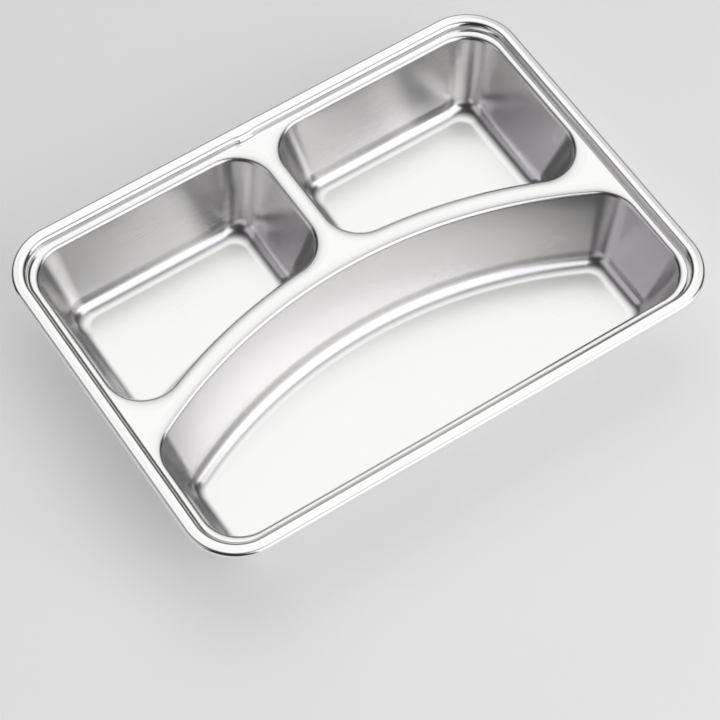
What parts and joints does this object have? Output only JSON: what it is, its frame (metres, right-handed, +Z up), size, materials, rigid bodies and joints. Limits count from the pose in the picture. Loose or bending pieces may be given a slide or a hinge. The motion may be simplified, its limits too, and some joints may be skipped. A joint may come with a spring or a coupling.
{
  "type": "compartment tray",
  "caption": "Rectangular pressed-steel serving tray with small back pans, a wide arched front pan, a flat web between them, and a rim with a lid groove and hemmed edge.",
  "frame": {"origin": "on the surface the tray stands on, under the middle of the rim", "axes": "+X along the long side, +Y from the arched front pan to the back pans, +Z up out of the pans"},
  "size_m": [0.282, 0.2028, 0.046],
  "materials": {
    "rim_steel": "bright satin",
    "deck_steel": "bright satin",
    "wall_steel": "drawn satin",
    "floor_steel": "satin with fine scratches"
  },
  "bodies": {
    "root": {"edge_hem": "rim_steel", "rim_flange": "rim_steel", "lid_groove": "rim_steel", "lid_lug": "rim_steel", "deck": "deck_steel", "back_left_wall": "wall_steel", "back_left_floor": "floor_steel", "back_right_wall": "wall_steel", "back_right_floor": "floor_steel", "front_wall": "wall_steel", "front_floor": "floor_steel"}
  },
  "joints": []
}
